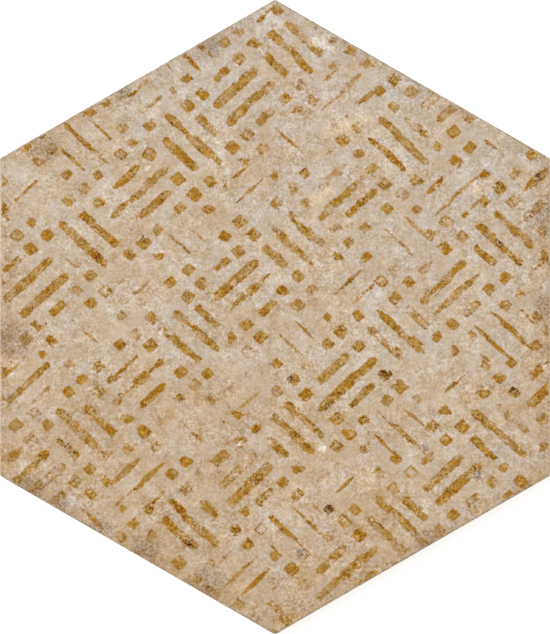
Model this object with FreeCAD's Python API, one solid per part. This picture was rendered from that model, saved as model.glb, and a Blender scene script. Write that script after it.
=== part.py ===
"""Hexagonal floor tile of pressed and glazed porcelain, in millimetres.

The tile lies face up. The origin is under its middle, on the plane of the ribs on its back, and +Z
points out of the glazed face. Two of its corners point along +Y and -Y, so two of its sides face
along +X and -X.
"""

import FreeCAD, Part
import math
import os

# Driving dimensions of the pressed body
WIDTH_ACROSS_FLATS = 216.5
THICKNESS = 9.0
LAND_HEIGHT = 3.6
FLANK_DRAFT = 0.6
BACK_CHAMFER = 0.8

# Driving dimensions of the worn upper edge
ARRIS_RADIUS = 0.8
FACE_CORNER_RADIUS = 0.3

# Driving dimensions of the honeycomb that keys the back into its adhesive
POCKET_ACROSS_FLATS = 12.5
POCKET_DEPTH = 0.8
POCKET_WALL_DRAFT = 0.5
RIB_WIDTH = 2.5
MARGIN_WIDTH = 8.0

# What follows from the driving dimensions
SIDES = 6
SECTOR = 360.0 / SIDES
HALF_SECTOR = SECTOR / 2
FLAT_TO_CORNER = 1 / math.cos(math.radians(HALF_SECTOR))
LAND_HALF_WIDTH = WIDTH_ACROSS_FLATS / 2
FLANK_FOOT_HALF_WIDTH = LAND_HALF_WIDTH - FLANK_DRAFT
BACK_HALF_WIDTH = FLANK_FOOT_HALF_WIDTH - BACK_CHAMFER
LAND_FOOT = THICKNESS - ARRIS_RADIUS - LAND_HEIGHT
CORNER_RADIUS = FACE_CORNER_RADIUS + ARRIS_RADIUS
POCKET_PITCH = POCKET_ACROSS_FLATS + RIB_WIDTH
COLUMN_STEP = POCKET_PITCH / FLAT_TO_CORNER
POCKET_REACH = POCKET_ACROSS_FLATS / 2 * FLAT_TO_CORNER


def towards(angle):
    """Unit vector in the plane of the tile, at an angle in degrees from +X."""
    turn = math.radians(angle)
    return FreeCAD.Vector(math.cos(turn), math.sin(turn), 0)


def rounded_hexagon(half_width, height):
    """Closed outline of the tile at one height: six straight sides joined by corner arcs."""
    lift = FreeCAD.Vector(0, 0, height)
    arcs = []
    for corner in range(SIDES):
        angle = corner * SECTOR + HALF_SECTOR
        centre = towards(angle) * (half_width - CORNER_RADIUS) * FLAT_TO_CORNER + lift
        start = centre + towards(angle - HALF_SECTOR) * CORNER_RADIUS
        middle = centre + towards(angle) * CORNER_RADIUS
        end = centre + towards(angle + HALF_SECTOR) * CORNER_RADIUS
        arcs.append((start, middle, end))
    edges = []
    for corner, (start, middle, end) in enumerate(arcs):
        next_start = arcs[(corner + 1) % SIDES][0]
        edges.append(Part.Arc(start, middle, end).toShape())
        edges.append(Part.LineSegment(end, next_start).toShape())
    return Part.Wire(edges)


def pressed_body():
    """Plain body: back chamfer, leaning flank and upright land, with the arris rounded over."""
    sections = [
        rounded_hexagon(BACK_HALF_WIDTH, 0),
        rounded_hexagon(FLANK_FOOT_HALF_WIDTH, BACK_CHAMFER),
        rounded_hexagon(LAND_HALF_WIDTH, LAND_FOOT),
        rounded_hexagon(LAND_HALF_WIDTH, THICKNESS),
    ]
    body = Part.makeLoft(sections, True, True)
    face = max(body.Faces, key=lambda candidate: candidate.CenterOfMass.z)
    return body.makeFillet(ARRIS_RADIUS, face.Edges)


def sharp_hexagon(half_width, height):
    """Corners of a pocket round the origin at one height, the first of them along +X."""
    lift = FreeCAD.Vector(0, 0, height)
    reach = half_width * FLAT_TO_CORNER
    return [towards(corner * SECTOR) * reach + lift for corner in range(SIDES)]


def flat_face(corners):
    """Plane face inside the closed outline through some corners."""
    return Part.Face(Part.makePolygon(corners + corners[:1]))


def pocket():
    """Hollow of one pocket round the origin, narrower at its floor.

    It runs on below the back by its own depth, with the same slope, for a clean cut.
    """
    half_mouth = POCKET_ACROSS_FLATS / 2
    below = sharp_hexagon(half_mouth + POCKET_WALL_DRAFT, -POCKET_DEPTH)
    floor = sharp_hexagon(half_mouth - POCKET_WALL_DRAFT, POCKET_DEPTH)
    faces = [flat_face(below), flat_face(floor)]
    for corner in range(SIDES):
        following = (corner + 1) % SIDES
        wall = [below[corner], below[following], floor[following], floor[corner]]
        faces.append(flat_face(wall))
    return Part.Solid(Part.Shell(faces))


def pocket_centres():
    """Centres of the pockets: as many whole rings round the middle one as the margin allows."""
    room = BACK_HALF_WIDTH - MARGIN_WIDTH - POCKET_REACH
    rings = math.floor(room / COLUMN_STEP)
    centres = []
    for column in range(-rings, rings + 1):
        count = 2 * rings + 1 - abs(column)
        for place in range(count):
            along = (place - (count - 1) / 2) * POCKET_PITCH
            centres.append(FreeCAD.Vector(column * COLUMN_STEP, along, 0))
    return centres


def hexagon_tile():
    """The tile as fired: the pressed body with the honeycomb sunk into its back."""
    one_pocket = pocket()
    pockets = [one_pocket.translated(centre) for centre in pocket_centres()]
    return pressed_body().cut(pockets)


def main():
    """Build the tile, write it and print what it measures."""
    tile = hexagon_tile()
    os.makedirs("parts", exist_ok=True)
    tile.exportStep("parts/hexagon_tile.step")
    box = tile.BoundBox
    print("solids", len(tile.Solids), "valid", tile.isValid(), "faces", len(tile.Faces))
    print("box", round(box.XLength, 3), round(box.YLength, 3), round(box.ZLength, 3))
    print("volume in cubic centimetres", round(tile.Volume / 1000, 2))


main()
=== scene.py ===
"""Look of the hexagon floor tile: a worn weave printed on matt glaze, over pressed porcelain."""

import logging
import math
import random
from collections import defaultdict
from dataclasses import dataclass, field
from enum import Enum
from functools import partial

import bmesh
import bpy
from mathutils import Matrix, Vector, noise


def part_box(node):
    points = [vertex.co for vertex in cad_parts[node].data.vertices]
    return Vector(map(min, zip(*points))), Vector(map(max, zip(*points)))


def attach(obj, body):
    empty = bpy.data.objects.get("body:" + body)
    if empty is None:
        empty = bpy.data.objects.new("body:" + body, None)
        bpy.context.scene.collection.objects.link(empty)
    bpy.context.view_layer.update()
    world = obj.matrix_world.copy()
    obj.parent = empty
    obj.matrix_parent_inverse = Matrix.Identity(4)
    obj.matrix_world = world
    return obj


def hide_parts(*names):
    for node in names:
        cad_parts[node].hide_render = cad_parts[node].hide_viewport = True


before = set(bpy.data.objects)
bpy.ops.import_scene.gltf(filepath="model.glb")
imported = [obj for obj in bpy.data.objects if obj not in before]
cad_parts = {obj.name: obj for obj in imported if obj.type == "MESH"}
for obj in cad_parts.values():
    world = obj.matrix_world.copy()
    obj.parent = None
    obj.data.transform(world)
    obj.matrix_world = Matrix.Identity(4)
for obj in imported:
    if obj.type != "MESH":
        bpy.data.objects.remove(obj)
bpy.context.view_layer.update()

LOG = logging.getLogger("hexagon_tile")

Tree = bpy.types.NodeTree
Socket = bpy.types.NodeSocket
Material = bpy.types.Material

NODE = "hexagon_tile"
BODY = "root"
PIECE_NAME = "hexagon_tile_fired"

MM = 0.001
METRES_TO_MM = 1000.0
SIDES = 6
SECTOR = 60.0
HALF_SECTOR = 30.0
FLAT_TO_CORNER = 1 / math.cos(math.radians(HALF_SECTOR))

# How far one side of the weave's cell goes along X and along Y
CELL_X_MM = 2.913
CELL_Y_MM = 2.683

# Slack in metres for comparing heights, and the distances at which a cut and a seam hold on
HEIGHT_SLACK = 1e-6
CUT_SLACK = 1e-7
SEAM_SLACK = 0.01 * MM

# Slack in degrees at the end of a corner's arc, and the last place before the next stretch
ANGLE_SLACK = 0.01
LAST_SHARE = 0.9999

# Places of the Mix node's sockets for a colour and for a number
MIX_COLOUR_A = 6
MIX_COLOUR_B = 7
MIX_COLOUR_OUT = 2
MIX_NUMBER_A = 2
MIX_NUMBER_B = 3
MIX_NUMBER_OUT = 0


def linear(hex_colour: str) -> tuple[float, float, float, float]:
    """Turn an sRGB hex colour into linear light.

    Args:
        hex_colour: Six hex digits, such as "c7b39a".

    Returns:
        Red, green, blue and an alpha of 1.
    """
    channels = [int(hex_colour[place:place + 2], 16) / 255 for place in (0, 2, 4)]
    light = [c / 12.92 if c <= 0.04045 else ((c + 0.055) / 1.055) ** 2.4 for c in channels]
    return (light[0], light[1], light[2], 1.0)


def towards(angle: float) -> Vector:
    """Unit vector in the plane of the tile, at an angle in degrees from +X."""
    turn = math.radians(angle)
    return Vector((math.cos(turn), math.sin(turn), 0.0))


def add_node(
    tree: Tree,
    kind: str,
    inputs: dict | tuple = (),
    output: int | str = 0,
    stops: tuple[tuple[float, str], ...] = (),
    **settings: str,
) -> Socket | None:
    """Add one node with its settings and links.

    Args:
        tree: The node tree that takes it.
        kind: The node's type after "ShaderNode", such as "Math".
        inputs: The sockets that feed it or its values, in order, or by name or place.
        output: The name or place of the output to return.
        stops: Places and hex colours along the node's colour ramp, where it has one.
        **settings: Options of the node by name.

    Returns:
        That output socket, or None for a node without outputs.
    """
    made = tree.nodes.new("ShaderNode" + kind)
    for name, value in settings.items():
        setattr(made, name, value)
    for name, value in inputs.items() if isinstance(inputs, dict) else enumerate(inputs):
        if isinstance(value, Socket):
            tree.links.new(value, made.inputs[name])
        else:
            made.inputs[name].default_value = value
    for number, (place, colour) in enumerate(stops):
        if number > 1:
            made.color_ramp.elements.new(place)
        made.color_ramp.elements[number].position = place
        made.color_ramp.elements[number].color = linear(colour)
    return made.outputs[output] if made.outputs else None


def emptied_tree(owner: Material | bpy.types.World) -> Tree:
    """Let a material or a world use nodes, and take out those it starts with.

    Args:
        owner: The material or world.

    Returns:
        Its empty node tree.
    """
    owner.use_nodes = True
    owner.node_tree.nodes.clear()
    return owner.node_tree


def add_object(name: str, data: bpy.types.ID) -> bpy.types.Object:
    """Add an object to the scene.

    Args:
        name: Its name.
        data: Its mesh, lamp or lens.

    Returns:
        The object, at the origin.
    """
    made = bpy.data.objects.new(name, data)
    bpy.context.scene.collection.objects.link(made)
    return made


def add_piece(name: str, bm: bmesh.types.BMesh, finishes: list[Material]) -> bpy.types.Object:
    """Add a finished mesh to the scene.

    Args:
        name: Name of the mesh and its object.
        bm: The mesh, which is used up.
        finishes: The materials that its faces count on.

    Returns:
        The object, at the origin.
    """
    mesh = bpy.data.meshes.new(name)
    bm.to_mesh(mesh)
    bm.free()
    for finish in finishes:
        mesh.materials.append(finish)
    return add_object(name, mesh)


class Strength(Enum):
    """How much of its ink a printed mark has kept, from none to all."""

    LOST = 0.0
    FADED = 0.32
    WORN = 0.5
    STRONG = 0.62
    FRESH = 0.76


@dataclass(frozen=True)
class Mark:
    """One bar or square of the weave: its middle and half sizes, in cells of the weave."""

    a: float
    b: float
    half_a: float
    half_b: float

    @property
    def is_thin(self) -> bool:
        """Whether it is one of the thin bars between the blocks."""
        return min(self.half_a, self.half_b) < 0.3

    @property
    def is_long(self) -> bool:
        """Whether it is a bar and not a square."""
        return max(self.half_a, self.half_b) > 0.8


# A block whose middle is a pair of bars. Each mark stands for its mirror images in a and b too.
PAIR_BLOCK = (
    Mark(1.0, 0.0, 0.42, 2.85),
    Mark(3.0, 0.0, 0.40, 0.95),
    Mark(3.0, 2.5, 0.52, 0.50),
    Mark(5.0, 2.5, 0.46, 0.50),
    Mark(3.0, 4.5, 0.50, 0.50),
    Mark(5.0, 4.5, 0.52, 0.46),
    Mark(0.0, 4.5, 1.40, 0.38),
    Mark(0.0, 6.5, 3.30, 0.42),
)

# A block whose middle is one long bar between two shorter ones
SINGLE_BLOCK = (
    Mark(0.0, 0.0, 0.42, 3.75),
    Mark(2.0, 0.0, 0.38, 1.85),
    Mark(4.0, 1.5, 0.43, 0.46),
    Mark(2.0, 3.5, 0.50, 0.50),
    Mark(4.0, 3.5, 0.55, 0.52),
    Mark(6.0, 3.5, 0.42, 0.45),
    Mark(4.0, 5.5, 0.48, 0.46),
    Mark(0.0, 5.5, 2.35, 0.40),
)

# Thin bars in the gaps between the blocks, mirrored in both axes of the whole weave
SLIVERS = (
    Mark(7.6, 1.0, 1.60, 0.10),
    Mark(6.55, 7.5, 0.12, 1.60),
    Mark(8.6, 7.5, 0.12, 1.60),
    Mark(7.5, 14.0, 1.90, 0.12),
    Mark(7.5, 16.1, 1.90, 0.15),
    Mark(5.5, 21.5, 0.22, 2.20),
    Mark(7.6, 21.5, 0.24, 3.20),
    Mark(9.6, 21.5, 0.14, 1.30),
    Mark(7.4, 27.0, 2.00, 0.14),
    Mark(21.5, 0.0, 3.40, 0.20),
    Mark(21.5, 2.0, 1.90, 0.16),
    Mark(21.5, 7.4, 0.14, 1.40),
    Mark(19.4, 7.6, 0.12, 1.80),
    Mark(21.5, 13.0, 2.80, 0.22),
    Mark(21.5, 15.0, 2.80, 0.22),
    Mark(21.5, 17.0, 0.90, 0.12),
    Mark(21.5, 11.1, 0.70, 0.10),
    Mark(18.5, 21.3, 0.14, 1.00),
    Mark(20.6, 21.0, 0.22, 2.30),
    Mark(22.6, 21.0, 0.22, 2.00),
)

# Marks that stand out by being gone, pale, worn or strong, by their middles in cells
STANDING_OUT = {
    Strength.LOST: (
        (-12.0, -3.5), (18.0, 5.5), (-6.0, 17.5), (-14.0, -9.5), (-14.0, -18.5), (34.0, -10.5),
        (28.0, -19.5), (9.0, 11.5), (-8.6, -7.5), (-7.5, 16.1), (-7.5, -16.1), (7.5, -16.1),
        (19.4, 7.6), (19.4, -7.6), (-19.4, -7.6), (6.55, -7.5), (19.0, -9.5), (30.0, -10.5),
    ),
    Strength.FADED: (
        (-9.0, 9.5), (-9.0, 16.5), (-9.0, 18.5), (-11.0, 18.5), (-18.0, -3.5), (9.0, -11.5),
        (14.0, 9.5), (-4.0, 15.5), (20.0, 3.5), (13.0, -14.0), (-6.55, -7.5), (4.0, 17.6),
        (5.0, -4.5), (4.0, -12.5), (4.0, -15.5), (11.0, -16.5), (24.0, -19.5), (26.0, -19.5),
        (-10.0, 22.5), (-16.0, 3.5), (2.0, 17.5), (6.0, -10.5), (11.0, 14.0), (10.0, -5.5),
        (-9.6, 21.5), (18.5, -21.3), (-4.0, 10.5), (-2.0, 14.0), (18.0, -22.5), (25.0, -2.5),
        (0.0, 23.5), (-3.0, 25.5), (-1.0, 28.0), (-2.0, 10.5), (9.0, 18.5), (1.0, -28.0),
    ),
    Strength.WORN: (
        (-18.0, 3.5), (24.0, -17.5), (14.0, 20.5), (4.0, 10.5), (2.0, 10.5), (19.0, 18.5),
        (10.0, 1.5), (-5.0, -23.5), (4.0, -10.5), (-4.0, -10.5), (0.0, 8.5), (-14.0, 22.5),
        (1.0, 28.0), (0.0, 21.5), (-9.0, 11.5), (-4.0, 12.5), (-4.0, 8.5), (10.0, -1.5),
        (-15.0, 14.0),
    ),
    Strength.STRONG: (
        (22.0, -10.5), (16.0, 3.8), (-10.0, -3.5), (1.0, 0.0), (-1.0, 0.0), (14.0, 0.0),
        (15.0, 14.0), (0.0, -14.0), (13.0, 14.0), (28.0, 0.0), (-11.0, 11.5), (17.0, 16.5),
        (19.0, 16.5), (3.0, 2.5), (-17.0, -11.5), (-19.0, -11.5), (-11.0, -11.5), (-4.0, -15.5),
        (21.5, 13.0), (21.5, 17.0), (24.0, 12.5), (28.0, 6.5), (-19.0, 18.5), (3.0, 23.5),
        (-10.0, 5.5), (-5.0, 4.5), (0.0, 6.5), (15.0, -14.0), (17.0, -11.5), (22.6, -21.0),
        (16.0, -24.5), (14.0, -28.0), (10.0, -26.5), (3.0, -25.5), (11.0, 9.5), (9.0, 9.5),
        (8.0, 3.5), (22.0, 17.5), (26.0, 14.0), (6.0, 17.5), (7.5, 14.0), (7.5, 16.1),
        (-19.0, 16.5), (-19.0, 9.5), (-21.5, 7.4), (-21.5, 2.0), (-12.0, 0.0), (-14.0, 7.5),
    ),
}


# Names of the attributes that tell the glaze about the mark on each small face
MARK_LAYERS = ("mark_centre", "mark_half", "mark_wear", "mark_chip")


@dataclass(frozen=True)
class PrintedMark:
    """A mark as this tile shows it, in millimetres along the weave's own two axes.

    The third numbers are its raggedness, its tilt, its taper and how far out its chip lies.
    """

    centre: Vector
    half: Vector
    wear: Vector
    chip: Vector


@dataclass(frozen=True)
class Handling:
    """How marks of one shape came out: their tilt, and how often and how deep they are chipped.

    The tilt is in radians. A chip's nearest place is a share of the way from the mark's middle to
    its corner.
    """

    tilt: float
    chipped_share: float
    nearest_chip: float


LONG_BARS = Handling(tilt=0.012, chipped_share=0.12, nearest_chip=0.8)
SHORT_MARKS = Handling(tilt=0.07, chipped_share=0.28, nearest_chip=0.2)


@dataclass
class WeaveDraft:
    """Draft of the weave: blocks of bars and squares, on axes turned 43 degrees to the tile.

    Lengths are in metres or in cells. The weights say how many marks in a hundred have each
    Strength, in its order, where none is listed.
    """

    cell_x: float = CELL_X_MM * MM
    cell_y: float = CELL_Y_MM * MM
    shift_a: float = -4.38
    shift_b: float = 0.03
    block_step: int = 14
    blocks_each_way: int = 3
    reach: float = 112.0 * MM
    influence: float = 0.6
    listed_within: float = 0.5
    weights: tuple[int, ...] = (2, 7, 38, 41, 12)
    jitter: float = 0.1
    size_spread: float = 0.13
    ink_gain: float = 0.065
    ink_spread: float = 0.06
    edge_ink: tuple[float, ...] = (-0.06, -0.03, 0.0, 0.04, 0.1, 0.2)
    hollow_share: float = 0.04
    hollow_middle: float = 0.16
    pointed_thin: float = 0.6
    pointed_thick: float = 0.1
    pointed_taper: tuple[float, float] = (0.35, 0.85)
    blunt_taper: tuple[float, float] = (0.0, 0.2)
    farthest_chip: float = 0.9
    clear_of_chip: float = 2.0
    broken_sides: tuple[float, float] = (0.2, 0.95)
    clean_sides: int = 3

    @property
    def cell(self) -> float:
        """Length of a cell's side."""
        return math.hypot(self.cell_x, self.cell_y)

    def cells_at(self, x: float, y: float) -> tuple[float, float]:
        """Place of a point of the face in cells from the middle of the weave.

        Args:
            x: Place along +X in metres.
            y: Place along +Y in metres.

        Returns:
            The place along a, which falls to the right, and along b, which rises to the right.
        """
        right = x / self.cell_x / 2
        up = y / self.cell_y / 2
        return right - up - self.shift_a, right + up - self.shift_b

    def point_at(self, a: float, b: float) -> tuple[float, float]:
        """Place on the face of a point of the weave.

        Args:
            a: Place along a in cells.
            b: Place along b in cells.

        Returns:
            The place along +X and along +Y in metres.
        """
        across = a + self.shift_a
        along = b + self.shift_b
        return self.cell_x * (across + along), self.cell_y * (along - across)

    @staticmethod
    def mirrored(marks: tuple[Mark, ...]) -> list[Mark]:
        """Mirror marks in both axes.

        Args:
            marks: The marks of one quarter.

        Returns:
            The marks of all four quarters, each one once and in order.
        """
        found = set()
        for mark in marks:
            for side_a in (1, -1):
                for side_b in (1, -1):
                    a = mark.a * side_a + 0.0
                    b = mark.b * side_b + 0.0
                    found.add((a, b, mark.half_a, mark.half_b))
        return [Mark(*values) for values in sorted(found)]

    def marks(self) -> list[Mark]:
        """Lay out the weave.

        Returns:
            Every mark that can reach the tile, unworn and in its own place.
        """
        every = self.mirrored(SLIVERS)
        each_way = range(-self.blocks_each_way, self.blocks_each_way + 1)
        for column in each_way:
            for row in each_way:
                paired = (column + row) % 2 == 0
                for mark in self.mirrored(PAIR_BLOCK if paired else SINGLE_BLOCK):
                    a = mark.a + column * self.block_step
                    b = mark.b + row * self.block_step
                    every.append(Mark(a, b, mark.half_a, mark.half_b))
        return [mark for mark in every if self.near_tile(mark)]

    def near_tile(self, mark: Mark) -> bool:
        """Whether a mark's middle lies on the tile or just outside it."""
        x, y = self.point_at(mark.a, mark.b)
        return max(abs(x), abs(x) / 2 + abs(y) / FLAT_TO_CORNER) < self.reach

    def strength_of(self, mark: Mark, draw: random.Random) -> Strength:
        """Tell how much ink a mark has kept.

        Args:
            mark: The mark as drafted.
            draw: The mark's own random draws.

        Returns:
            The strength it is listed with where it stands out, and a drawn one elsewhere.
        """
        for strength, places in STANDING_OUT.items():
            for a, b in places:
                if math.hypot(mark.a - a, mark.b - b) < self.listed_within:
                    return strength
        return draw.choices(list(Strength), self.weights)[0]

    def printed(self, mark: Mark) -> PrintedMark:
        """Wear one mark, always in the same way for the same place.

        Args:
            mark: The mark as drafted.

        Returns:
            The mark with its own place, size, strength and worn corner.
        """
        draw = random.Random(f"mark {mark.a:.2f} {mark.b:.2f}")
        scale = self.cell * METRES_TO_MM
        spread = self.size_spread
        handling = LONG_BARS if mark.is_long else SHORT_MARKS
        centre_a = mark.a + self.shift_a + draw.gauss(0, self.jitter)
        centre_b = mark.b + self.shift_b + draw.gauss(0, self.jitter)
        half_a = mark.half_a * (1 + draw.uniform(-spread, spread)) + self.ink_gain
        half_b = mark.half_b * (1 + draw.uniform(-spread, spread)) + self.ink_gain
        tilt = draw.gauss(0, handling.tilt)
        strength = self.strength_of(mark, draw)
        core = strength.value + draw.uniform(-self.ink_spread, self.ink_spread)
        rim = core + draw.choice(self.edge_ink)
        hollow = draw.random() < self.hollow_share and not mark.is_long
        hollow = hollow and strength is not Strength.STRONG
        if hollow:
            core, rim = self.hollow_middle, core
        pointed = draw.random() < (self.pointed_thin if mark.is_thin else self.pointed_thick)
        sharp = pointed and (mark.is_long or mark.is_thin)
        taper = draw.uniform(*(self.pointed_taper if sharp else self.blunt_taper))
        chip_turn = draw.uniform(0, 2 * math.pi)
        chipped = draw.random() < handling.chipped_share and not mark.is_thin
        chip_reach = self.clear_of_chip
        if chipped:
            chip_reach = draw.uniform(handling.nearest_chip, self.farthest_chip)
        chip_reach *= math.hypot(half_a, half_b)
        broken = mark.is_long or hollow
        raggedness = draw.uniform(*self.broken_sides) if broken else draw.random() ** self.clean_sides
        return PrintedMark(
            Vector((centre_a * scale, centre_b * scale, raggedness)),
            Vector((half_a * scale, half_b * scale, tilt)),
            Vector((core, rim, taper)),
            Vector((math.cos(chip_turn), math.sin(chip_turn), chip_reach * scale)),
        )

    def lay_on(self, bm: bmesh.types.BMesh, faces: list[bmesh.types.BMFace]) -> int:
        """Tell each small face of the glaze which mark lies on it or nearest to it.

        Args:
            bm: The tile's mesh.
            faces: The faces of its glazed top.

        Returns:
            How many marks were laid.
        """
        layers = [bm.faces.layers.float_vector[name] for name in MARK_LAYERS]
        nearby = defaultdict(list)
        for face in faces:
            middle = face.calc_center_median()
            a, b = self.cells_at(middle.x, middle.y)
            nearby[math.floor(a), math.floor(b)].append((face, a, b))
        nearest = {}
        marks = self.marks()
        for mark in marks:
            printed = self.printed(mark)
            values = (printed.centre, printed.half, printed.wear, printed.chip)
            reach_a = mark.half_a + self.influence
            reach_b = mark.half_b + self.influence
            for cell_a in range(math.floor(mark.a - reach_a), math.floor(mark.a + reach_a) + 1):
                for cell_b in range(math.floor(mark.b - reach_b), math.floor(mark.b + reach_b) + 1):
                    for face, a, b in nearby[cell_a, cell_b]:
                        gap = max(abs(a - mark.a) - mark.half_a, abs(b - mark.b) - mark.half_b)
                        if gap < nearest.get(face.index, self.influence):
                            nearest[face.index] = gap
                            for layer, value in zip(layers, values):
                                face[layer] = value
        return len(marks)


@dataclass(frozen=True)
class Blemish:
    """A single spot in the glaze: its place on the face and its radius, in millimetres."""

    x: float
    y: float
    radius: float


@dataclass(frozen=True)
class BlemishKind:
    """One kind of blemish: its colour, how sharp its edge is, how much it hides, and its places.

    The share in broken says how much of it the glaze's fine grains break up, and on_ink whether it
    shows on the print alone.
    """

    name: str
    colour: str
    edge: tuple[float, float]
    cover: float
    broken: float
    places: tuple[Blemish, ...]
    on_ink: bool = False


BLEMISH_KINDS = (
    # Dirt rubbed into the rim, in loose speckled patches
    BlemishKind(
        "rim_stain",
        "836748",
        (0.26, 0.62),
        0.66,
        0.7,
        (
            Blemish(-96.0, -67.5, 4.5),
            Blemish(-85.5, -73.5, 3.5),
            Blemish(-50.4, -91.9, 5.0),
            Blemish(-25.8, -104.6, 5.5),
            Blemish(-68.0, -84.0, 4.0),
            Blemish(106.3, 40.2, 5.0),
            Blemish(106.0, 4.0, 4.0),
            Blemish(-102.4, -9.1, 6.0),
            Blemish(-90.6, 66.9, 5.0),
            Blemish(-25.6, 106.7, 4.0),
            Blemish(-60.0, 90.0, 3.5),
            Blemish(60.0, -88.0, 4.0),
        ),
    ),
    # Grey smudges
    BlemishKind(
        "grey_smudge",
        "7a6862",
        (0.34, 0.66),
        0.8,
        0.55,
        (
            Blemish(10.2, -92.9, 2.0),
            Blemish(79.5, -62.2, 1.8),
            Blemish(59.1, -51.6, 1.6),
        ),
    ),
    # Veins of cream where the glaze ran thick
    BlemishKind(
        "cream_bloom",
        "e2c9a5",
        (0.35, 0.75),
        0.9,
        0.6,
        (
            Blemish(27.6, 74.8, 4.0),
            Blemish(22.0, 72.0, 3.0),
            Blemish(33.0, 77.0, 2.5),
            Blemish(16.5, 46.1, 3.4),
            Blemish(21.0, 50.0, 2.4),
            Blemish(79.1, 50.4, 3.0),
            Blemish(84.0, 53.0, 2.6),
            Blemish(86.6, 70.0, 2.6),
            Blemish(36.0, -63.0, 4.0),
        ),
    ),
    # Cream flecks
    BlemishKind(
        "cream_fleck",
        "efe3d0",
        (0.45, 0.8),
        0.95,
        0.4,
        (
            Blemish(17.2, 108.6, 3.2),
            Blemish(21.0, 106.0, 1.8),
            Blemish(-50.0, 58.7, 1.2),
            Blemish(18.5, -51.6, 1.8),
            Blemish(59.1, -76.0, 1.8),
            Blemish(102.5, -51.7, 1.4),
            Blemish(-14.0, -50.0, 1.4),
            Blemish(-45.0, -6.0, 1.2),
        ),
    ),
    # Ink that burnt nearly black
    BlemishKind(
        "burnt_ink",
        "4c2800",
        (0.37, 0.6),
        0.95,
        0.7,
        (
            Blemish(43.6, -21.8, 2.8),
            Blemish(88.3, 29.2, 1.6),
            Blemish(94.2, -29.0, 1.8),
            Blemish(-68.9, 23.7, 1.2),
            Blemish(103.4, 54.7, 1.6),
            Blemish(5.8, -24.0, 1.4),
            Blemish(-51.8, 30.6, 1.3),
            Blemish(20.8, -75.6, 2.2),
            Blemish(20.4, -35.4, 1.2),
            Blemish(3.0, -47.0, 1.2),
            Blemish(-34.1, -89.4, 1.7),
        ),
        True,
    ),
)


@dataclass(frozen=True)
class Ripple:
    """One size of unevenness: how wide it is, how much it counts and where its noise is read."""

    size_mm: float
    share: float
    shift: tuple[float, float, float] = (0.0, 0.0, 0.0)

    def level(self, at: Vector) -> float:
        """Level of its noise at a point in millimetres, from about -1 to 1."""
        return noise.noise(at / self.size_mm + Vector(self.shift))


# The face's slow swell, what feet wore and the grit, then its pits, and the nibbles of its arris
FACE_RIPPLES = (
    Ripple(26.0, 0.3),
    Ripple(7.0, 0.22, (11.0, 0.0, 0.0)),
    Ripple(1.9, 0.1, (0.0, 23.0, 0.0)),
)
PITS = Ripple(3.4, 1.1, (0.0, 0.0, 31.0))
NIBBLES = (Ripple(4.5, 1.0), Ripple(1.3, 0.5))


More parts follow.
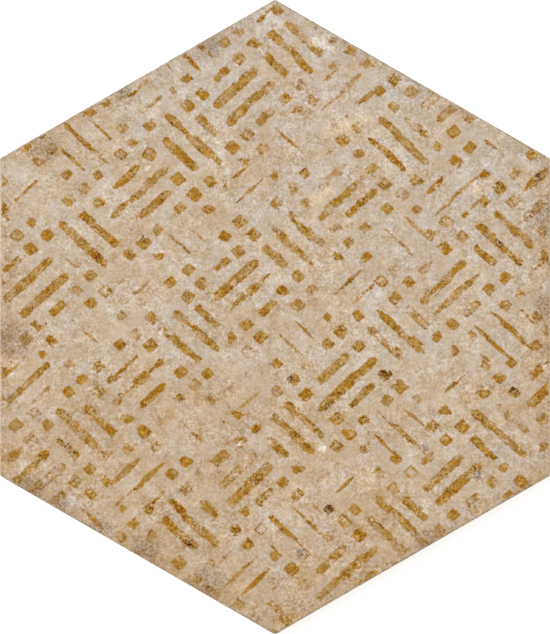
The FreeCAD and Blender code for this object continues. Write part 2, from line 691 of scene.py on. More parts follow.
@dataclass
class PressedTile:
    """The tile: one pressed and fired slab, with its glazed face, its edges and its keyed back."""

    half_width: float
    thickness: float
    draft: WeaveDraft = field(default_factory=WeaveDraft)
    arris: float = 0.8 * MM
    face_corner: float = 0.3 * MM
    land: float = 3.6 * MM
    flank_draft: float = 0.6 * MM
    back_chamfer: float = 0.8 * MM
    pocket_across: float = 12.5 * MM
    pocket_depth: float = 0.8 * MM
    pocket_wall_draft: float = 0.5 * MM
    rib: float = 2.5 * MM
    margin: float = 8.0 * MM
    cuts: int = 158
    cut_region: float = 3.0 * MM
    arris_steps: int = 4
    arc_steps: int = 4
    relief_depth: float = 0.09 * MM
    relief_middle: float = 0.4
    relief_most: float = 1.6
    relief_fade: float = 1.6 * MM
    pit_start: float = 0.42
    nibble_depth: float = 0.14 * MM
    nibble_start: float = 0.1
    nibble_reach: float = 1.3 * MM
    crease: float = 25.0
    map_margin: float = 2.0 * MM

    @property
    def face_half_width(self) -> float:
        """Half the flat face between its flats, inside the arris."""
        return self.half_width - self.arris

    @property
    def face_arc_reach(self) -> float:
        """How far from the middle the arcs of the face's corners have their centres."""
        return (self.face_half_width - self.face_corner) * FLAT_TO_CORNER

    @property
    def corner(self) -> float:
        """Radius of the upright corners."""
        return self.face_corner + self.arris

    @property
    def back_half_width(self) -> float:
        """Half the back between its flats, inside the chamfer."""
        return self.half_width - self.flank_draft - self.back_chamfer

    @property
    def arris_foot(self) -> float:
        """Height at which the arris ends and the upright land begins."""
        return self.thickness - self.arris

    def sections(self) -> list[tuple[float, float, float]]:
        """List the outlines that the sides run through.

        Returns:
            Half width, corner radius and height of each, from the face to the back.
        """
        found = []
        for step in range(self.arris_steps + 1):
            turn = math.pi / 2 * step / self.arris_steps
            out = self.arris * math.sin(turn)
            drop = self.arris * (1 - math.cos(turn))
            half = self.face_half_width + out
            found.append((half, self.face_corner + out, self.thickness - drop))
        found.append((self.half_width, self.corner, self.arris_foot - self.land))
        found.append((self.half_width - self.flank_draft, self.corner, self.back_chamfer))
        found.append((self.back_half_width, self.corner, 0.0))
        return found

    def outward_at(self, around: float) -> Vector:
        """Find which way is out of the outline.

        Args:
            around: A place, counted as outline_point counts it.

        Returns:
            The unit vector there.
        """
        corner, rest = divmod(around, 2)
        angle = corner * SECTOR + HALF_SECTOR
        return towards(angle + (min(rest, 1.0) - 0.5) * SECTOR)

    def outline_point(self, around: float, section: tuple[float, float, float]) -> Vector:
        """Find a point of an outline.

        Args:
            around: Twice a corner's number plus the share of its arc, or one more than that plus
                the share of the side that follows it.
            section: Half width, corner radius and height of the outline.

        Returns:
            The point, in metres.
        """
        half, radius, height = section
        corner, rest = divmod(around, 2)
        outward = self.outward_at(around)
        if rest < 1:
            centre = towards(corner * SECTOR + HALF_SECTOR) * (half - radius) * FLAT_TO_CORNER
            place = centre + outward * radius
        else:
            along = outward.cross(Vector((0, 0, -1)))
            half_side = (half - radius) * math.tan(math.radians(HALF_SECTOR))
            place = outward * half + along * half_side * (2 * (rest - 1) - 1)
        return place + Vector((0, 0, height))

    def around_at(self, place: Vector) -> float:
        """Find how far round the face's outline a point on it lies.

        Args:
            place: The point.

        Returns:
            Its place, counted as outline_point counts it.
        """
        angle = math.degrees(math.atan2(place.y, place.x)) % 360
        corner = math.floor(angle / SECTOR)
        corner_angle = corner * SECTOR + HALF_SECTOR
        from_centre = place - towards(corner_angle) * self.face_arc_reach
        turned = math.degrees(math.atan2(from_centre.y, from_centre.x)) - corner_angle
        turned = (turned + 180) % 360 - 180
        if abs(turned) <= HALF_SECTOR + ANGLE_SLACK:
            return 2 * corner + min(max(turned / SECTOR + 0.5, 0.0), LAST_SHARE)
        side = corner if turned > 0 else (corner - 1) % SIDES
        along = towards((side + 1) * SECTOR + 90)
        half_side = (self.face_half_width - self.face_corner) * math.tan(math.radians(HALF_SECTOR))
        share = (place.dot(along) / half_side + 1) / 2
        return 2 * side + 1 + min(max(share, 0.0), LAST_SHARE)

    @staticmethod
    def half_across(place: Vector) -> float:
        """How far from the middle a point lies, square to the side that it is nearest to."""
        return max(abs(place.dot(towards(side * SECTOR))) for side in range(SIDES // 2))

    def glazed_sheet(self, bm: bmesh.types.BMesh) -> None:
        """Make the flat face as a close net of triangles, with its corners cut round.

        Args:
            bm: The mesh to add it to.
        """
        bmesh.ops.create_circle(
            bm,
            cap_ends=True,
            cap_tris=True,
            segments=SIDES,
            radius=self.face_half_width * FLAT_TO_CORNER,
        )
        bmesh.ops.subdivide_edges(bm, edges=bm.edges[:], cuts=self.cuts, use_grid_fill=True)
        bmesh.ops.translate(bm, verts=bm.verts[:], vec=(0, 0, self.thickness))
        for corner in range(SIDES):
            angle = corner * SECTOR + HALF_SECTOR
            centre = towards(angle) * self.face_arc_reach + Vector((0, 0, self.thickness))
            for step in range(1, self.arc_steps):
                outward = towards(angle + (step / self.arc_steps - 0.5) * SECTOR)
                close = [v for v in bm.verts if (v.co - centre).length < self.cut_region]
                faces = {face for v in close for face in v.link_faces}
                edges = {edge for face in faces for edge in face.edges}
                verts = {v for face in faces for v in face.verts}
                bmesh.ops.bisect_plane(
                    bm,
                    geom=list(verts) + list(edges) + list(faces),
                    dist=CUT_SLACK,
                    plane_co=centre + outward * self.face_corner,
                    plane_no=outward,
                    clear_outer=True,
                )

    def wrap_edges(self, bm: bmesh.types.BMesh) -> list[bmesh.types.BMEdge]:
        """Draw the face's rim out over the arris and down the side to the back.

        Args:
            bm: The mesh, holding the face alone.

        Returns:
            The edges of the outline on the back's plane.
        """
        around = bm.verts.layers.float["around"]
        sections = self.sections()
        rim = [edge for edge in bm.edges if edge.is_boundary]
        for vert in {v for edge in rim for v in edge.verts}:
            vert[around] = self.around_at(vert.co)
            vert.co = self.outline_point(vert[around], sections[0])
        for section in sections[1:]:
            made = bmesh.ops.extrude_edge_only(bm, edges=rim)["geom"]
            rim = [g for g in made if isinstance(g, bmesh.types.BMEdge) and g.is_boundary]
            for vert in (g for g in made if isinstance(g, bmesh.types.BMVert)):
                vert.co = self.outline_point(vert[around], section)
        return rim

    def keyed_back(self, bm: bmesh.types.BMesh, outline: list[bmesh.types.BMEdge]) -> None:
        """Fill the back with a honeycomb of sunk pockets inside a plain margin.

        Args:
            bm: The mesh with its face and sides.
            outline: The edges that the back has to meet.
        """
        before = set(bm.faces)
        pitch = self.pocket_across + self.rib
        column_step = pitch / FLAT_TO_CORNER
        room = self.back_half_width - self.margin - self.pocket_across / 2 * FLAT_TO_CORNER
        rings = math.floor(room / column_step)
        reaches = [towards(-corner * SECTOR) * pitch / 2 * FLAT_TO_CORNER for corner in range(SIDES)]
        corners = []
        for column in range(-rings, rings + 1):
            count = 2 * rings + 1 - abs(column)
            for place in range(count):
                middle = Vector((column * column_step, (place - (count - 1) / 2) * pitch, 0))
                cell = [bm.verts.new(middle + reach) for reach in reaches]
                bm.faces.new(cell)
                corners += cell
        bmesh.ops.remove_doubles(bm, verts=corners, dist=SEAM_SLACK)
        cells = [face for face in bm.faces if face not in before]
        honeycomb_rim = [e for e in {e for cell in cells for e in cell.edges} if e.is_boundary]
        bmesh.ops.triangle_fill(
            bm,
            use_beauty=True,
            use_dissolve=False,
            edges=honeycomb_rim + outline,
            normal=(0, 0, -1),
        )
        bmesh.ops.inset_individual(bm, faces=cells, thickness=self.rib / 2, use_even_offset=True)
        bmesh.ops.inset_individual(
            bm,
            faces=cells,
            thickness=self.pocket_wall_draft,
            depth=-self.pocket_depth,
            use_even_offset=True,
        )

    def relief_at(self, place: Vector) -> float:
        """Find how far the worn face lies below its highest plane.

        Args:
            place: A point on the face.

        Returns:
            The depth there, in metres.
        """
        at = place * METRES_TO_MM
        worn = self.relief_middle
        for ripple in FACE_RIPPLES:
            worn += ripple.share * ripple.level(at)
        worn += PITS.share * max(0.0, PITS.level(at) - self.pit_start)
        return self.relief_depth * min(max(worn, 0.0), self.relief_most)

    def wear_surface(self, bm: bmesh.types.BMesh) -> None:
        """Give the face its slight relief and nibble the arris, all inside the tile's box.

        Args:
            bm: The tile's mesh, whose points also learn how far from the rim they lie.
        """
        from_rim = bm.verts.layers.float["from_rim"]
        for vert in bm.verts:
            across = self.half_across(vert.co)
            vert[from_rim] = (self.half_width - across) * METRES_TO_MM
            if vert.co.z < self.arris_foot - HEIGHT_SLACK:
                continue
            inward = self.face_half_width - across
            place = vert.co.copy()
            if place.z > self.thickness - HEIGHT_SLACK:
                fade = min(max(inward / self.relief_fade, 0.0), 1.0)
                vert.co.z -= self.relief_at(place) * fade
            closeness = 1 - abs(inward + self.arris / 2) / self.nibble_reach
            if closeness > 0:
                at = place * METRES_TO_MM
                level = sum(nibble.share * nibble.level(at) for nibble in NIBBLES)
                push = self.nibble_depth * max(0.0, level - self.nibble_start) * closeness
                vert.co -= Vector((place.x, place.y, 0)).normalized() * push
                vert.co.z -= push

    def spot(self, bm: bmesh.types.BMesh, kind: BlemishKind) -> None:
        """Mark one kind of blemish on the face's points, from 1 at a spot's middle to 0.

        Args:
            bm: The tile's mesh.
            kind: The kind, whose name is that of the attribute that holds it.
        """
        layer = bm.verts.layers.float[kind.name]
        for vert in bm.verts:
            if vert.co.z < self.arris_foot:
                continue
            for blemish in kind.places:
                away_x = vert.co.x * METRES_TO_MM - blemish.x
                away_y = vert.co.y * METRES_TO_MM - blemish.y
                reach = 2 * blemish.radius
                if abs(away_x) < reach and abs(away_y) < reach:
                    away = math.hypot(away_x, away_y)
                    vert[layer] = max(vert[layer], 1 - away / reach)

    def unwrap(self, bm: bmesh.types.BMesh, glazed: set[bmesh.types.BMFace]) -> None:
        """Lay the glaze over one map, and the back with its sides folded out over another.

        Args:
            bm: The tile's mesh before its wear.
            glazed: The faces that carry glaze.
        """
        layer = bm.loops.layers.uv["OFBake"]
        around = bm.verts.layers.float["around"]
        span = 2 * (self.half_width * FLAT_TO_CORNER + self.thickness + self.map_margin)
        for face in bm.faces:
            on_glaze = face in glazed
            for loop in face.loops:
                place = loop.vert.co
                flat = place.to_2d()
                drop = self.thickness - place.z if on_glaze else place.z
                if len(face.verts) == 4 and self.on_side(place):
                    flat += self.outward_at(loop.vert[around]).to_2d() * drop
                turned = 1 if on_glaze else -1
                loop[layer].uv = (turned * flat.x / span + 0.5, flat.y / span + 0.5)

    def on_side(self, place: Vector) -> bool:
        """Whether a point lies on the tile's sides or arris, outside the back's own plane."""
        return place.z > SEAM_SLACK and self.half_across(place) > self.back_half_width - SEAM_SLACK

    def build(self, finishes: list[Material]) -> bpy.types.Object:
        """Make the tile's mesh and object.

        Args:
            finishes: The finish of the glazed face, then that of the bare body.

        Returns:
            The tile as one object at the origin.
        """
        bm = bmesh.new()
        bm.loops.layers.uv.new("OFBake")
        for name in MARK_LAYERS:
            bm.faces.layers.float_vector.new(name)
        for name in ("around", "from_rim", *(kind.name for kind in BLEMISH_KINDS)):
            bm.verts.layers.float.new(name)
        self.glazed_sheet(bm)
        outline = self.wrap_edges(bm)
        self.keyed_back(bm, outline)
        bmesh.ops.recalc_face_normals(bm, faces=bm.faces[:])
        bm.faces.index_update()
        lowest = {face: min(v.co.z for v in face.verts) for face in bm.faces}
        top = [face for face in bm.faces if lowest[face] > self.thickness - HEIGHT_SLACK]
        glazed = {face for face in bm.faces if lowest[face] > self.arris_foot - HEIGHT_SLACK}
        laid = self.draft.lay_on(bm, top)
        self.unwrap(bm, glazed)
        for face in bm.faces:
            face.material_index = 0 if face in glazed else 1
            face.smooth = True
        for edge in bm.edges:
            edge.smooth = math.degrees(edge.calc_face_angle(0.0)) < self.crease
        self.wear_surface(bm)
        for kind in BLEMISH_KINDS:
            self.spot(bm, kind)
        tile = add_piece(PIECE_NAME, bm, finishes)
        LOG.info("%s: %d faces, %d marks", PIECE_NAME, len(tile.data.polygons), laid)
        return tile


@dataclass(frozen=True)
class Cloud:
    """Cloudy pattern of a real size, stretched between two values.

    The levels are those of the raw cloud at which it reaches its lower and upper value. Detail is
    how many times finer clouds are added, and roughness how strong each is beside the one before.
    """

    size_mm: float
    levels: tuple[float, float] = (0.3, 0.7)
    values: tuple[float, float] = (0.0, 1.0)
    detail: float = 1.0
    roughness: float = 0.5


class FinishNodes:
    """Nodes of a finish under way, with its object coordinates in millimetres."""

    def __init__(self, name: str) -> None:
        """Start a material.

        Args:
            name: The material's name.
        """
        self.material = bpy.data.materials.new(name)
        self.add = partial(add_node, emptied_tree(self.material))
        metres = self.add("TexCoord", output="Object")
        self.place = self.add("VectorMath", {0: metres, "Scale": METRES_TO_MM}, operation="SCALE")

    def mottle(self, cloud: Cloud, place: Socket | None = None) -> Socket:
        """Add a cloudy pattern.

        Args:
            cloud: The pattern.
            place: Coordinates to use in place of the object's.

        Returns:
            The pattern as a number.
        """
        inputs = {
            "Vector": place or self.place,
            "Scale": 1 / cloud.size_mm,
            "Detail": cloud.detail,
            "Roughness": cloud.roughness,
        }
        raw = self.add("TexNoise", inputs)
        return self.add("MapRange", (raw, *cloud.levels, *cloud.values))

    def layered(self, colour: Socket | tuple, layers: list[tuple[Socket, str]]) -> Socket:
        """Lay colours over one another.

        Args:
            colour: The lowest one, in linear light.
            layers: How much each further one hides, with its hex colour, from the lowest up.

        Returns:
            The colour that is seen.
        """
        for cover, hex_colour in layers:
            inputs = {"Factor": cover, MIX_COLOUR_A: colour, MIX_COLOUR_B: linear(hex_colour)}
            colour = self.add("Mix", inputs, MIX_COLOUR_OUT, data_type="RGBA")
        return colour


class PrintNodes(FinishNodes):
    """Nodes of a printed finish, with what the attributes say of the nearest mark."""

    def __init__(self, name: str) -> None:
        """Start a material that reads the tile's attributes.

        Args:
            name: The material's name.
        """
        super().__init__(name)
        read = [self.add("Attribute", output="Vector", attribute_name=key) for key in MARK_LAYERS]
        self.centre, self.half, self.wear, self.chip = read
        thirds = [self.add("SeparateXYZ", (vector,), 2) for vector in read]
        self.raggedness, self.tilt, self.taper, self.chip_reach = thirds
        self.from_rim = self.add("Attribute", output="Fac", attribute_name="from_rim")


@dataclass(frozen=True)
class CeramicFinish:
    """Fired surface: its grain, how deep and how strong that is, and how little it shines."""

    grain: Cloud
    grain_depth: float
    grain_strength: float
    roughness: Cloud
    specular: float
    ior: float = 1.5

    def fired(self, nodes: FinishNodes, colour: Socket) -> Material:
        """End a material in its surface.

        Args:
            nodes: The nodes of the finish.
            colour: The finished colour.

        Returns:
            The material.
        """
        grain = {
            "Strength": self.grain_strength,
            "Distance": self.grain_depth,
            "Height": nodes.mottle(self.grain),
        }
        surface = {
            "Base Color": colour,
            "Roughness": nodes.mottle(self.roughness),
            "IOR": self.ior,
            "Specular IOR Level": self.specular,
            "Normal": nodes.add("Bump", grain),
        }
        nodes.add("OutputMaterial", {"Surface": nodes.add("BsdfPrincipled", surface)})
        return nodes.material


@dataclass(frozen=True)
class WornPrintGlaze(CeramicFinish):
    """Matt engobe glaze with a worn screen print, fired together.

    To the eye it is chalky: hardly any gloss, a fine speckle of sand colours, and golden brown ink
    that has crisp sides but has gone thin, patchy and chipped. Bands are in millimetres.
    """

    grain: Cloud = Cloud(0.7, detail=3.0, roughness=0.6)
    grain_depth: float = 0.03 * MM
    grain_strength: float = 0.5
    roughness: Cloud = Cloud(9.0, (0.35, 0.65), (0.62, 0.8), 5.0, 0.7)
    specular: float = 0.2

    # The glaze: its sand colours, where it is warmer, how rim and foot differ, and the arris's
    # painted shade
    ground_stops: tuple[tuple[float, str], ...] = (
        (0.0, "a48865"),
        (0.14, "b69e81"),
        (0.28, "c3ad92"),
        (0.5, "c9b49b"),
        (0.72, "cebba4"),
        (0.86, "d6c6b1"),
        (1.0, "e2d3bf"),
    )
    sand: Cloud = Cloud(24.0, (0.29, 0.71), detail=6.0, roughness=0.9)
    warmth: Cloud = Cloud(22.0, (0.35, 0.65), (0.74, 1.3), 6.0, 0.85)
    warmth_shift: tuple[float, float, float] = (310.0, 170.0, 0.0)
    warmth_slope: tuple[float, float, float] = (-0.0004, -0.0018, 0.0)
    rim_band: tuple[float, float] = (0.0, 7.0)
    rim_warmth: float = 0.14
    rim_shade: float = -0.01
    # Painted shade: the arris of the slanted sides is made darker and greyer near the rim
    arris_painted_shade_band: tuple[float, float] = (0.1, 1.3)
    arris_painted_shade: float = 0.17
    slanted_sides: tuple[float, float] = (56.0, 66.0)
    foot_slope: tuple[float, float] = (0.0, 0.16)
    foot_shade: float = 0.955

    # The outline of a mark: how it wanders and frays, and the bites and steps out of its sides
    corner_rounding: float = 0.15
    wander: Cloud = Cloud(2.6, values=(-0.13, 0.13))
    fray: Cloud = Cloud(0.9, values=(-0.13, 0.13))
    bites: Cloud = Cloud(1.3, (0.59, 0.75), (0.0, 2.0), 1.5)
    steps: Cloud = Cloud(2.6, (0.57, 0.6), (0.0, 1.2), 0.0)
    layer_spacing: float = 157.0

    # The ink, from bare ground to its thickest, and what is left of it
    ink_stops: tuple[tuple[float, str], ...] = (
        (0.0, "ccbaa7"),
        (0.22, "c0a480"),
        (0.33, "b9976b"),
        (0.44, "b38d57"),
        (0.56, "ae8645"),
        (0.67, "ab7e32"),
        (0.78, "a9771f"),
        (1.0, "aa7108"),
    )
    edge_band: tuple[float, float] = (-1.0, -0.3)
    patches: Cloud = Cloud(5.5, (0.38, 0.62), (-0.17, 0.17))
    streaks: Cloud = Cloud(1.5, values=(-0.1, 0.1), detail=0.0)
    rust_speck: str = "623b0f"
    speck_shift: tuple[float, float, float] = (0.0, 0.0, 40.0)
    specks: Cloud = Cloud(1.0, (0.57, 0.63))
    clusters: Cloud = Cloud(6.0, (0.49, 0.66), (0.05, 0.9))
    least_half: float = 0.05
    outline_band: tuple[float, float] = (-0.24, 0.28)
    least_ink: tuple[float, float] = (0.0, 0.26)
    holes: Cloud = Cloud(1.7, (0.69, 0.77), (1.0, 0.3))

    # Spots, the grime round the rim and the cream flecks
    spot_fray: Cloud = Cloud(1.8, values=(-0.42, 0.42), detail=4.0, roughness=0.85)
    spot_grain: float = 1.0
    spot_levels: tuple[float, float] = (0.48, 0.57)
    rim_grime: str = "907458"
    grime: Cloud = Cloud(2.6, (0.5, 0.62), (0.0, 0.58), 3.0, 1.0)
    grime_band: tuple[float, float] = (1.5, 9.0)
    cream: str = "ecdfca"
    flecks: Cloud = Cloud(2.3, (0.7, 0.8), (0.0, 0.6), 2.0)

    # The speckle. The real grains are finer than a pixel, so they are drawn as coarse as half a
    # millimetre
    grains: Cloud = Cloud(1.1, values=(-1.0, 1.0), roughness=0.95)
    clumps: Cloud = Cloud(3.4, values=(-1.0, 1.0), roughness=0.8)
    warm_patches: Cloud = Cloud(4.5, values=(-1.0, 1.0), detail=4.0, roughness=0.8)
    uneven: Cloud = Cloud(13.0, (0.36, 0.64), (0.6, 1.42), 2.0, 0.7)
    patch_shift: tuple[float, float, float] = (0.0, 0.0, 80.0)
    grain_tint: tuple[float, float, float] = (0.07, 0.07, 0.073)
    clump_tint: tuple[float, float, float] = (0.038, 0.048, 0.07)
    warm_tint: tuple[float, float, float] = (0.0185, 0.0065, -0.0145)
    ink_liveliness: float = 1.6
    display_gamma: float = 2.2

    def material(self) -> Material:
        """Make the finish.

        Returns:
            A material that reads object coordinates and the tile's attributes.
        """
        nodes = PrintNodes("matt_glaze_worn_print")
        turned = self.place_in_mark(nodes)
        local = self.stretched(nodes, turned)
        gap = self.ragged(nodes, local, self.outline_gap(nodes, turned))
        amount = self.ink_amount(nodes, local, gap)
        cover = self.ink_cover(nodes, gap, amount)
        inputs = {
            "Factor": cover,
            MIX_COLOUR_A: self.ground(nodes),
            MIX_COLOUR_B: self.ink(nodes, amount),
        }
        printed = nodes.add("Mix", inputs, MIX_COLOUR_OUT, data_type="RGBA")
        spotted = self.spotted(nodes, printed, cover)
        return self.fired(nodes, self.speckled(nodes, spotted, cover))

    def ground(self, nodes: PrintNodes) -> Socket:
        """Mix the glaze without its print: sand, browner at the foot and round the rim, and painted
        arris shade.

        Args:
            nodes: The nodes of the glaze.

        Returns:
            Its colour.
        """
        add = nodes.add
        sand = add("ValToRGB", {"Fac": nodes.mottle(self.sand)}, stops=self.ground_stops)
        moved = add("VectorMath", (nodes.place, self.warmth_shift), operation="ADD")
        warmth = nodes.mottle(self.warmth, moved)
        slope = (nodes.place, self.warmth_slope)
        low = add("VectorMath", slope, "Value", operation="DOT_PRODUCT")
        warmth = add("Math", (warmth, low), operation="ADD")
        band = (nodes.from_rim, *self.rim_band, 1.0, 0.0)
        rim = add("MapRange", band, interpolation_type="SMOOTHSTEP")
        warmth = add("Math", (rim, self.rim_warmth, warmth), operation="MULTIPLY_ADD")
        # Painted shade: darken and grey the arris, on the slanted sides alone
        arris = add("MapRange", (nodes.from_rim, *self.arris_painted_shade_band, self.arris_painted_shade, 0.0))
        upright = add("VectorMath", (nodes.place,), operation="ABSOLUTE")
        upright = add("SeparateXYZ", (upright,), 1)
        slanted = add("MapRange", (upright, *self.slanted_sides))
        arris = add("Math", (arris, slanted), operation="MULTIPLY")
        warmth = add("Math", (warmth, arris), operation="SUBTRACT")
        shade = add("Math", (rim, self.rim_shade, 1.0), operation="MULTIPLY_ADD")
        shade = add("Math", (shade, arris), operation="SUBTRACT")
        foot = add("MapRange", (low, *self.foot_slope, 1.0, self.foot_shade))
        value = add("Math", (shade, foot), operation="MULTIPLY")
        return add("HueSaturation", {"Saturation": warmth, "Value": value, "Color": sand})

    def place_in_mark(self, nodes: PrintNodes) -> Socket:
        """Find the place from the middle of the nearest mark.

        Args:
            nodes: The nodes of the glaze.

        Returns:
            The place along the mark's own two sides, in millimetres.
        """
        add = nodes.add
        cell_mm = math.hypot(CELL_X_MM, CELL_Y_MM)
        run = cell_mm / CELL_X_MM / 2
        rise = cell_mm / CELL_Y_MM / 2
        along = [
            add("VectorMath", (nodes.place, (run, axis_rise, 0.0)), "Value", operation="DOT_PRODUCT")
            for axis_rise in (-rise, rise)
        ]
        weave = add("CombineXYZ", tuple(along))
        away = add("VectorMath", (weave, nodes.centre), operation="SUBTRACT")
        flat = add("VectorMath", (away, (1.0, 1.0, 0.0)), operation="MULTIPLY")
        return add("VectorRotate", {"Vector": flat, "Angle": nodes.tilt}, rotation_type="Z_AXIS")

    def outline_gap(self, nodes: PrintNodes, turned: Socket) -> Socket:
        """Measure the distance from the nearest mark's clean outline.

        The outline is a box with narrowing ends, slightly rounded corners and, on some marks, one
        straight chip.

        Args:
            nodes: The nodes of the glaze.
            turned: Place in the mark, as place_in_mark gives it.

        Returns:
            The distance in millimetres, below 0 inside the outline.
        """
        add = nodes.add
        rounding = self.corner_rounding
        folded = add("VectorMath", (turned,), operation="ABSOLUTE")
        share = add("VectorMath", (folded, nodes.half), operation="DIVIDE")
        capped = add("VectorMath", (share, (1.0, 1.0, 0.0)), operation="MINIMUM")
        share_a, share_b = (add("SeparateXYZ", (capped,), axis) for axis in (0, 1))
        swapped = add("CombineXYZ", (share_b, share_a))
        squared = add("VectorMath", (swapped, swapped), operation="MULTIPLY")
        narrowing = add("VectorMath", {0: squared, "Scale": nodes.taper}, operation="SCALE")
        left = add("VectorMath", ((1.0, 1.0, 0.0), narrowing), operation="SUBTRACT")
        outline = add("VectorMath", (nodes.half, left), operation="MULTIPLY")
        beyond = add("VectorMath", (folded, outline), operation="SUBTRACT")
        beyond = add("VectorMath", (beyond, (rounding, rounding, 0.0)), operation="ADD")
        outside = add("VectorMath", (beyond, (0.0, 0.0, 0.0)), operation="MAXIMUM")
        outside = add("VectorMath", (outside,), "Value", operation="LENGTH")
        beyond_both = tuple(add("SeparateXYZ", (beyond,), axis) for axis in (0, 1))
        inside = add("Math", beyond_both, operation="MAXIMUM")
        inside = add("Math", (inside, 0.0), operation="MINIMUM")
        box = add("Math", (outside, inside), operation="ADD")
        box = add("Math", (box, rounding), operation="SUBTRACT")
        chip_way = add("VectorMath", (turned, nodes.chip), "Value", operation="DOT_PRODUCT")
        chipped = add("Math", (chip_way, nodes.chip_reach), operation="SUBTRACT")
        return add("Math", (box, chipped), operation="MAXIMUM")

    def stretched(self, nodes: PrintNodes, turned: Socket) -> Socket:
        """Stretch the place in a mark, for patterns that run along a bar.

        Args:
            nodes: The nodes of the glaze.
            turned: Place in the mark, as place_in_mark gives it.

        Returns:
            Coordinates in which every mark has another part of a pattern.
        """
        add = nodes.add
        root = add("VectorMath", (nodes.half, (0.5, 0.5, 1.0)), operation="POWER")
        spread = add("VectorMath", (turned, root), operation="DIVIDE")
        spread_a, spread_b = (add("SeparateXYZ", (spread,), axis) for axis in (0, 1))
        layer = add("Math", (nodes.raggedness, self.layer_spacing), operation="MULTIPLY")
        return add("CombineXYZ", (spread_a, spread_b, layer))

    def ragged(self, nodes: PrintNodes, local: Socket, gap: Socket) -> Socket:
        """Let a mark's outline wander and fray a little, and bite longer pieces out of its sides.

        Args:
            nodes: The nodes of the glaze.
            local: Place within the mark, as stretched gives it.
            gap: Distance from the mark's clean outline in millimetres.

        Returns:
            The distance from its worn outline.
        """
        add = nodes.add
        bites = nodes.mottle(self.bites, local)
        lost = add("Math", (bites, nodes.mottle(self.steps, local)), operation="ADD")
        lost = add("Math", (lost, nodes.raggedness), operation="MULTIPLY")
        worn = nodes.mottle(self.wander)
        for more in (nodes.mottle(self.fray), lost, gap):
            worn = add("Math", (worn, more), operation="ADD")
        return worn

    def ink_amount(self, nodes: PrintNodes, local: Socket, gap: Socket) -> Socket:
        """Tell how much ink is left: patchy along the mark, streaked, and often more at its edge.

        Args:
            nodes: The nodes of the glaze.
            local: Place within the mark, as stretched gives it.
            gap: Distance from the mark's outline in millimetres.

        Returns:
            The amount, from 0 for bare ground to 1 for the thickest ink.
        """
        add = nodes.add
        core, rim = (add("SeparateXYZ", (nodes.wear,), number) for number in (0, 1))
        edge = add("MapRange", (gap, *self.edge_band), interpolation_type="SMOOTHSTEP")
        inputs = {"Factor": edge, MIX_NUMBER_A: core, MIX_NUMBER_B: rim}
        amount = add("Mix", inputs, MIX_NUMBER_OUT, data_type="FLOAT")
        for more in (nodes.mottle(self.patches), nodes.mottle(self.streaks, local)):
            amount = add("Math", (amount, more), operation="ADD")
        return amount

    def ink(self, nodes: PrintNodes, amount: Socket) -> Socket:
        """Colour the ink by its amount, from tan to gold, with burnt specks in clusters.

        Args:
            nodes: The nodes of the glaze.
            amount: How much ink is left.

        Returns:
            Its colour.
        """
        gold = nodes.add("ValToRGB", {"Fac": amount}, stops=self.ink_stops)
        moved = nodes.add("VectorMath", (nodes.place, self.speck_shift), operation="ADD")
        masks = (nodes.mottle(self.specks, moved), nodes.mottle(self.clusters, moved))
        burnt = nodes.add("Math", masks, operation="MULTIPLY")
        return nodes.layered(gold, [(burnt, self.rust_speck)])

    def ink_cover(self, nodes: PrintNodes, gap: Socket, amount: Socket) -> Socket:
        """Tell how much of the ground the ink hides.

        Args:
            nodes: The nodes of the glaze.
            gap: Distance from the mark's outline in millimetres.
            amount: How much ink is left.

        Returns:
            The cover, from 0 to 1.
        """
        add = nodes.add
        half = add("SeparateXYZ", (nodes.half,), 0)
        present = add("Math", (half, self.least_half), operation="GREATER_THAN")
        band = (gap, *self.outline_band, 1.0, 0.0)
        cover = add("MapRange", band, interpolation_type="SMOOTHSTEP")
        kept = add("MapRange", (amount, *self.least_ink), interpolation_type="SMOOTHSTEP")
        for share in (present, kept, nodes.mottle(self.holes)):
            cover = add("Math", (cover, share), operation="MULTIPLY")
        return cover

    def spotted(self, nodes: PrintNodes, colour: Socket, cover: Socket) -> Socket:
        """Lay the tile's own blemishes, grime near its rim and small cream flecks on the colour.

        Args:
            nodes: The nodes of the glaze.
            colour: The colour so far.
            cover: How much of the ground the ink hides.

        Returns:
            The spotted colour.
        """
        add = nodes.add
        fray = nodes.mottle(self.spot_fray)
        layers = []
        for kind in BLEMISH_KINDS:
            spot = add("Attribute", output="Fac", attribute_name=kind.name)
            frayed = add("Math", (spot, fray), operation="ADD")
            band = (frayed, *kind.edge, 0.0, kind.cover)
            mask = add("MapRange", band, interpolation_type="SMOOTHSTEP")
            broken = Cloud(self.spot_grain, self.spot_levels, (1.0 - kind.broken, 1.0))
            shares = (nodes.mottle(broken), cover) if kind.on_ink else (nodes.mottle(broken),)
            for share in shares:
                mask = add("Math", (mask, share), operation="MULTIPLY")
            layers.append((mask, kind.colour))
        band = (nodes.from_rim, *self.grime_band, 1.0, 0.0)
        near_rim = add("MapRange", band, interpolation_type="SMOOTHSTEP")
        grime = add("Math", (nodes.mottle(self.grime), near_rim), operation="MULTIPLY")
        layers += [(grime, self.rim_grime), (nodes.mottle(self.flecks), self.cream)]
        return nodes.layered(colour, layers)

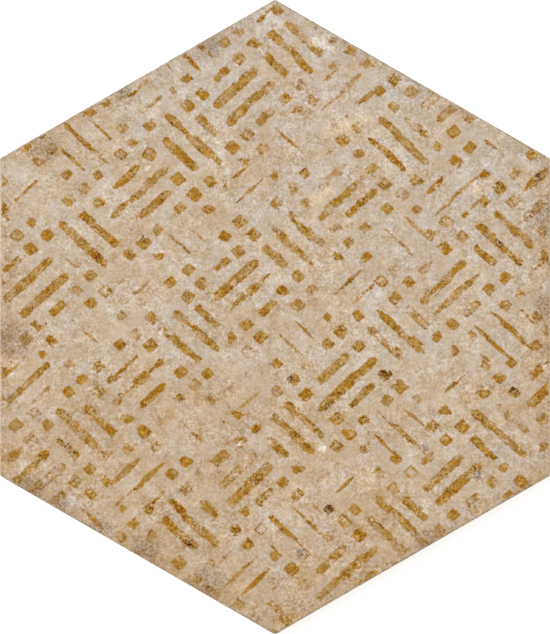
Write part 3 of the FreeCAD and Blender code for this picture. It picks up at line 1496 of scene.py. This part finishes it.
    def speckled(self, nodes: PrintNodes, colour: Socket, cover: Socket) -> Socket:
        """Break every colour up with the glaze's fine grains, its clumps and warmer patches.

        Each is added in even steps of lightness, as the eye sees it, and the ink shows them more.

        Args:
            nodes: The nodes of the glaze.
            colour: The colour so far.
            cover: How much of the ground the ink hides.

        Returns:
            The finished colour.
        """
        add = nodes.add
        gamma = self.display_gamma
        moved = add("VectorMath", (nodes.place, self.patch_shift), operation="ADD")
        grains = (nodes.mottle(self.grains), self.grain_tint)
        shift = add("VectorMath", grains, operation="MULTIPLY")
        clumps = (nodes.mottle(self.clumps), self.clump_tint, shift)
        shift = add("VectorMath", clumps, operation="MULTIPLY_ADD")
        lively = add("MapRange", {"Value": cover, "To Min": 1.0, "To Max": self.ink_liveliness})
        lively = add("Math", (lively, nodes.mottle(self.uneven, moved)), operation="MULTIPLY")
        shift = add("VectorMath", {0: shift, "Scale": lively}, operation="SCALE")
        warmth = (nodes.mottle(self.warm_patches, moved), self.warm_tint, shift)
        shift = add("VectorMath", warmth, operation="MULTIPLY_ADD")
        even = add("VectorMath", (colour, (1 / gamma,) * 3), operation="POWER")
        even = add("VectorMath", (even, shift), operation="ADD")
        even = add("VectorMath", (even, (0.0, 0.0, 0.0)), operation="MAXIMUM")
        return add("VectorMath", (even, (gamma,) * 3), operation="POWER")


@dataclass(frozen=True)
class PressedPorcelain(CeramicFinish):
    """Unglazed porcelain body, pressed from powder and fired.

    To the eye it is a dry, even buff with fine grit, with a ragged edge of glaze at the top of
    the sides and a chalky wash on the ribs where it lay on the kiln's rollers. Bands are heights
    in millimetres.
    """

    grain: Cloud = Cloud(0.6, detail=3.0, roughness=0.7)
    grain_depth: float = 0.06 * MM
    grain_strength: float = 0.7
    roughness: Cloud = Cloud(4.0, (0.35, 0.65), (0.8, 0.95), 3.0)
    specular: float = 0.3
    buff: str = "ccbba2"
    grey_buff: str = "bbaa92"
    grey_clouds: Cloud = Cloud(11.0, (0.36, 0.64), detail=5.0, roughness=0.7)
    grit: str = "8a755c"
    grit_specks: Cloud = Cloud(0.8, (0.62, 0.72), (0.0, 0.6), 2.0)
    overspray: str = "c4ae92"
    overspray_band: tuple[float, float] = (6.4, 7.3)
    drips: Cloud = Cloud(2.6, values=(-0.9, 0.9), detail=3.0, roughness=0.6)
    kiln_wash: str = "ddd5c6"
    worn_wash: Cloud = Cloud(6.0, (0.4, 0.6), (0.25, 0.9), 5.0, 0.75)
    wash_band: tuple[float, float] = (0.02, 0.12)

    def material(self) -> Material:
        """Make the finish.

        Returns:
            A material that reads object coordinates.
        """
        nodes = FinishNodes("unglazed_porcelain_body")
        add = nodes.add
        height = add("SeparateXYZ", (nodes.place,), 2)
        reach = add("Math", (height, nodes.mottle(self.drips)), operation="ADD")
        band = (reach, *self.overspray_band)
        overspray = add("MapRange", band, interpolation_type="SMOOTHSTEP")
        low = add("MapRange", (height, *self.wash_band, 1.0, 0.0))
        wash = add("Math", (nodes.mottle(self.worn_wash), low), operation="MULTIPLY")
        layers = [
            (nodes.mottle(self.grey_clouds), self.grey_buff),
            (nodes.mottle(self.grit_specks), self.grit),
            (overspray, self.overspray),
            (wash, self.kiln_wash),
        ]
        return self.fired(nodes, nodes.layered(linear(self.buff), layers))


@dataclass
class Studio:
    """Pale floor, soft light and the camera straight above the tile."""

    tile_top: float
    framed_height: float = 249.5 * MM
    lens: float = 400.0
    sensor: float = 36.0
    sight: float = 20.0
    floor_half: float = 3.0
    fill: float = 0.62
    key_watts: float = 72.0
    key_size: float = 2.4
    key_place: tuple[float, float, float] = (-1.3, 1.5, 3.5)
    floor_colour: str = "e6e4df"
    floor_glow: float = 0.58
    white: str = "ffffff"

    def camera(self) -> None:
        """Look straight down, from so far that the picture is almost without perspective."""
        lens = bpy.data.cameras.new("overhead_camera")
        lens.lens = self.lens
        lens.sensor_width = self.sensor
        lens.clip_end = self.sight
        camera = add_object("overhead_camera", lens)
        camera.location = (0, 0, self.tile_top + self.framed_height * self.lens / self.sensor)
        bpy.context.scene.camera = camera

    def seen_directly(self, tree: Tree) -> Socket:
        """Tell the rays that show the backdrop from those that light the tile.

        Args:
            tree: The node tree of the world or the floor.

        Returns:
            1 for rays of the camera, of gloss and of glass, and 0 for the light on the object.
        """
        total = add_node(tree, "LightPath", output="Is Camera Ray")
        for ray in ("Is Glossy Ray", "Is Transmission Ray"):
            other = add_node(tree, "LightPath", output=ray)
            total = add_node(tree, "Math", (total, other), operation="MAXIMUM")
        return total

    def world(self) -> None:
        """Give even light from all round, which the camera sees as white."""
        world = bpy.data.worlds.new("studio_world")
        tree = emptied_tree(world)
        levels = {"Factor": self.seen_directly(tree), MIX_NUMBER_A: self.fill, MIX_NUMBER_B: 1.0}
        strength = add_node(tree, "Mix", levels, MIX_NUMBER_OUT, data_type="FLOAT")
        sky = {"Color": linear(self.white), "Strength": strength}
        add_node(tree, "OutputWorld", {"Surface": add_node(tree, "Background", sky)})
        bpy.context.scene.world = world

    def key_light(self) -> None:
        """Hang a large soft lamp at the upper left."""
        softbox = bpy.data.lights.new("key_softbox", "AREA")
        softbox.shape = "DISK"
        softbox.size = self.key_size
        softbox.energy = self.key_watts
        lamp = add_object("key_softbox", softbox)
        lamp.location = self.key_place
        lamp.rotation_euler = (-Vector(self.key_place)).to_track_quat("-Z", "Y").to_euler()

    def floor(self) -> None:
        """Lay a plain pale floor, which shows as white and keeps a faint shadow of the tile."""
        paint = bpy.data.materials.new("pale_floor_paint")
        tree = emptied_tree(paint)
        shine = (self.seen_directly(tree), self.floor_glow)
        glow = {
            "Color": linear(self.white),
            "Strength": add_node(tree, "Math", shine, operation="MULTIPLY"),
        }
        matt = {"Color": linear(self.floor_colour)}
        surfaces = (add_node(tree, "BsdfDiffuse", matt), add_node(tree, "Emission", glow))
        add_node(tree, "OutputMaterial", {"Surface": add_node(tree, "AddShader", surfaces)})
        bm = bmesh.new()
        bmesh.ops.create_grid(bm, x_segments=1, y_segments=1, size=self.floor_half)
        add_piece("floor", bm, [paint])

    def set_up(self) -> None:
        """Place the camera, the light and the floor, and keep colours as written."""
        self.camera()
        self.world()
        self.key_light()
        self.floor()
        bpy.context.scene.view_settings.view_transform = "Standard"


def main() -> None:
    """Dress the tile and set up its studio."""
    logging.basicConfig(level=logging.INFO, format="%(name)s: %(message)s")
    low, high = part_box(NODE)
    glaze = WornPrintGlaze().material()
    body = PressedPorcelain().material()
    tile = PressedTile(half_width=high.x, thickness=high.z - low.z).build([glaze, body])
    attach(tile, BODY)
    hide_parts(NODE)
    Studio(tile_top=high.z).set_up()


if __name__ == "__main__":
    main()
